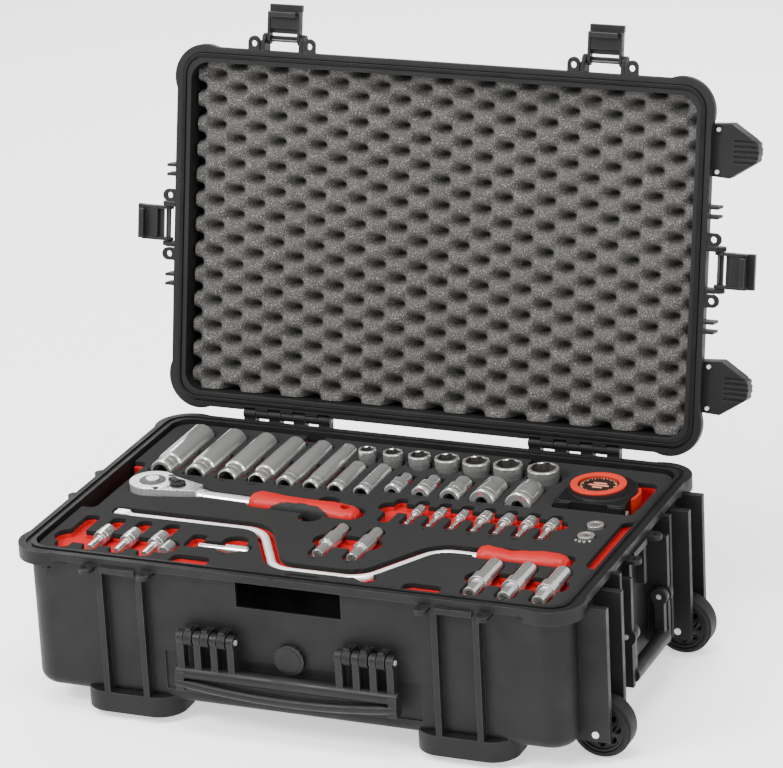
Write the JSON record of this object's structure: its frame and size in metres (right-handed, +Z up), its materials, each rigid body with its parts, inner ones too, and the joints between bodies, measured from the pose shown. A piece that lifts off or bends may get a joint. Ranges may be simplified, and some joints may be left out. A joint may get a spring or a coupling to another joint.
{
  "type": "socket wrench set in case",
  "caption": "Hard box on wheels with an open lid, four draw latches and a foam tray of sockets, ratchet, speed brace and tape measure.",
  "frame": {"origin": "middle of the flat underside of the lower shell; the feet and wheels reach 25 mm below it", "axes": "+X towards the wheel end, +Y towards the lid hinge, -Y towards the front carrying handle, +Z up"},
  "size_m": [0.768, 0.5795, 0.6758],
  "materials": {
    "shell_plastic": "matt, finely textured",
    "handle_plastic": "satin moulded",
    "latch_plastic": "satin moulded",
    "wheel_rubber": "matt rubber",
    "pad_rubber": "matt rubber",
    "seal_rubber": "smooth rubber",
    "label_black": "flat black panel",
    "pin_steel": "bright steel",
    "grey_foam": "fine closed-cell foam",
    "red_foam": "fine closed-cell foam",
    "egg_foam": "open-cell foam",
    "polished_steel": "satin chrome",
    "dark_steel": "blackened steel",
    "black_plastic": "moulded",
    "red_grip": "satin",
    "red_plastic": "satin",
    "blade_steel": "bright steel",
    "socket_chrome": "mirror and satin chrome"
  },
  "bodies": {
    "box": {"base_shell": "shell_plastic", "spacer_foam": "grey_foam", "foot_pads": "pad_rubber", "wheel_axles": "pin_steel", "handle_pins": "pin_steel", "label_panel": "label_black", "hinge_pins": "pin_steel"},
    "lid": {"lid_shell": "shell_plastic", "lid_gasket": "seal_rubber", "lid_foam": "egg_foam", "lid_bumpers": "shell_plastic", "lid_screws": "pin_steel", "latch_pins": "pin_steel"},
    "lever_front_left": {"latch_lever_1": "latch_plastic"},
    "hook_front_left": {"latch_hook_1": "latch_plastic"},
    "lever_front_right": {"latch_lever_2": "latch_plastic"},
    "hook_front_right": {"latch_hook_2": "latch_plastic"},
    "lever_left_end": {"latch_lever_3": "latch_plastic"},
    "hook_left_end": {"latch_hook_3": "latch_plastic"},
    "lever_wheel_end": {"latch_lever_4": "latch_plastic"},
    "hook_wheel_end": {"latch_hook_4": "latch_plastic"},
    "front_handle": {"front_handle": "handle_plastic"},
    "side_handle": {"side_handle": "handle_plastic"},
    "pull_handle": {"pull_grip": "handle_plastic", "pull_tubes": "pin_steel"},
    "wheel_front": {"wheel_hub_1": "handle_plastic", "wheel_tyre_1": "wheel_rubber"},
    "wheel_rear": {"wheel_hub_2": "handle_plastic", "wheel_tyre_2": "wheel_rubber"},
    "valve": {"valve_knob": "handle_plastic"},
    "tray": {"foam_tray": "grey_foam", "tray_backing": "red_foam"},
    "ratchet": {"ratchet_body": "polished_steel", "ratchet_plate": "dark_steel", "ratchet_screws": "dark_steel", "ratchet_grip": "red_grip"},
    "ratchet_drive": {"ratchet_drive": "dark_steel"},
    "ratchet_reverser": {"ratchet_reverser": "black_plastic"},
    "ratchet_button": {"ratchet_button": "polished_steel"},
    "brace": {"brace_bar": "polished_steel"},
    "brace_grip": {"brace_grip": "red_grip"},
    "tape": {"tape_case": "black_plastic", "tape_ring": "red_plastic"},
    "tape_lock": {"tape_lock": "red_plastic"},
    "tape_hook": {"tape_hook": "blade_steel"},
    "long_sockets": {"deep_socket_1": "socket_chrome", "deep_socket_2": "socket_chrome", "deep_socket_3": "socket_chrome", "deep_socket_4": "socket_chrome", "deep_socket_5": "socket_chrome", "deep_socket_6": "socket_chrome"},
    "small_sockets": {"medium_sockets": "socket_chrome", "short_sockets": "socket_chrome", "upright_sockets": "socket_chrome"},
    "bit_sockets": {"left_bit_sockets": "socket_chrome", "right_bit_sockets": "socket_chrome"},
    "holders": {"plug_sockets": "socket_chrome", "bit_holders": "socket_chrome", "bit_adapter": "socket_chrome", "reducers": "socket_chrome"}
  },
  "joints": [
    {"name": "lid_hinge", "type": "hinge", "parent": "box", "child": "lid", "pos_m": [0, 0.218, 0.176], "axis": [-1, 0, 0], "range_deg": [-101.7, 0]},
    {"name": "latch_front_left", "type": "hinge", "parent": "lid", "child": "lever_front_left", "pos_m": [-0.198, 0.31293, 0.60976], "axis": [-1, 0, 0], "range_deg": [-90, 20]},
    {"name": "hook_front_left", "type": "hinge", "parent": "lever_front_left", "child": "hook_front_left", "pos_m": [-0.198, 0.31373, 0.62594], "axis": [1, 0, 0], "range_deg": [0, 40]},
    {"name": "latch_front_right", "type": "hinge", "parent": "lid", "child": "lever_front_right", "pos_m": [0.198, 0.31293, 0.60976], "axis": [-1, 0, 0], "range_deg": [-90, 20]},
    {"name": "hook_front_right", "type": "hinge", "parent": "lever_front_right", "child": "hook_front_right", "pos_m": [0.198, 0.31373, 0.62594], "axis": [1, 0, 0], "range_deg": [0, 40]},
    {"name": "latch_left_end", "type": "hinge", "parent": "lid", "child": "lever_left_end", "pos_m": [-0.342, 0.2671, 0.38846], "axis": [0, -0.2028, -0.9792], "range_deg": [-90, 20]},
    {"name": "hook_left_end", "type": "hinge", "parent": "lever_left_end", "child": "hook_left_end", "pos_m": [-0.358, 0.26466, 0.38896], "axis": [0, 0.2028, 0.9792], "range_deg": [0, 40]},
    {"name": "latch_wheel_end", "type": "hinge", "parent": "lid", "child": "lever_wheel_end", "pos_m": [0.342, 0.2671, 0.38846], "axis": [0, 0.2028, 0.9792], "range_deg": [-90, 20]},
    {"name": "hook_wheel_end", "type": "hinge", "parent": "lever_wheel_end", "child": "hook_wheel_end", "pos_m": [0.358, 0.26466, 0.38896], "axis": [0, -0.2028, -0.9792], "range_deg": [0, 40]},
    {"name": "front_handle_swing", "type": "hinge", "parent": "box", "child": "front_handle", "pos_m": [0, -0.217, 0.089], "axis": [-1, 0, 0], "range_deg": [0, 95]},
    {"name": "side_handle_swing", "type": "hinge", "parent": "box", "child": "side_handle", "pos_m": [0.337, 0, 0.079], "axis": [0, -1, 0], "range_deg": [0, 95]},
    {"name": "pull_handle_slide", "type": "slide", "parent": "box", "child": "pull_handle", "axis": [-1, 0, 0], "range_m": [0, 0.35]},
    {"name": "wheel_front_spin", "type": "hinge", "parent": "box", "child": "wheel_front", "pos_m": [0.336, -0.139, 0.009], "axis": [0, 1, 0], "continuous": true},
    {"name": "wheel_rear_spin", "type": "hinge", "parent": "box", "child": "wheel_rear", "pos_m": [0.336, 0.139, 0.009], "axis": [0, 1, 0], "continuous": true},
    {"name": "valve_turn", "type": "hinge", "parent": "box", "child": "valve", "pos_m": [0, -0.204, 0.072], "axis": [0, -1, 0], "range_deg": [0, 180]},
    {"name": "tray_lift", "type": "slide", "parent": "box", "child": "tray", "axis": [0, 0, 1], "range_m": [0, 0.12]},
    {"name": "ratchet_lift", "type": "slide", "parent": "tray", "child": "ratchet", "axis": [0, 0, 1], "range_m": [0, 0.1]},
    {"name": "ratchet_drive_turn", "type": "hinge", "parent": "ratchet", "child": "ratchet_drive", "pos_m": [-0.257, 0.004, 0.159], "axis": [0, 0, 1], "continuous": true},
    {"name": "ratchet_reverse", "type": "hinge", "parent": "ratchet", "child": "ratchet_reverser", "pos_m": [-0.22404, 0.00227, 0.159], "axis": [0, 0, 1], "range_deg": [0, 60]},
    {"name": "ratchet_release", "type": "slide", "parent": "ratchet", "child": "ratchet_button", "axis": [0, 0, 1], "range_m": [-0.003, 0], "stiffness_N_per_m": 400},
    {"name": "brace_lift", "type": "slide", "parent": "tray", "child": "brace", "axis": [0, 0, 1], "range_m": [0, 0.1]},
    {"name": "brace_grip_spin", "type": "hinge", "parent": "brace", "child": "brace_grip", "pos_m": [0.172, -0.072, 0.157], "axis": [1, 0, 0], "continuous": true},
    {"name": "tape_lift", "type": "slide", "parent": "tray", "child": "tape", "axis": [0, 0, 1], "range_m": [0, 0.1]},
    {"name": "tape_lock_slide", "type": "hinge", "parent": "tape", "child": "tape_lock", "pos_m": [0.25, 0.118, 0.138], "axis": [0, 0, 1], "range_deg": [-8, 0]},
    {"name": "tape_hook_play", "type": "slide", "parent": "tape", "child": "tape_hook", "axis": [1, 0, 0], "range_m": [0, 0.001]},
    {"name": "long_sockets_lift", "type": "slide", "parent": "tray", "child": "long_sockets", "axis": [0, 0, 1], "range_m": [0, 0.1]},
    {"name": "small_sockets_lift", "type": "slide", "parent": "tray", "child": "small_sockets", "axis": [0, 0, 1], "range_m": [0, 0.1]},
    {"name": "bit_sockets_lift", "type": "slide", "parent": "tray", "child": "bit_sockets", "axis": [0, 0, 1], "range_m": [0, 0.1]},
    {"name": "holders_lift", "type": "slide", "parent": "tray", "child": "holders", "axis": [0, 0, 1], "range_m": [0, 0.1]}
  ]
}
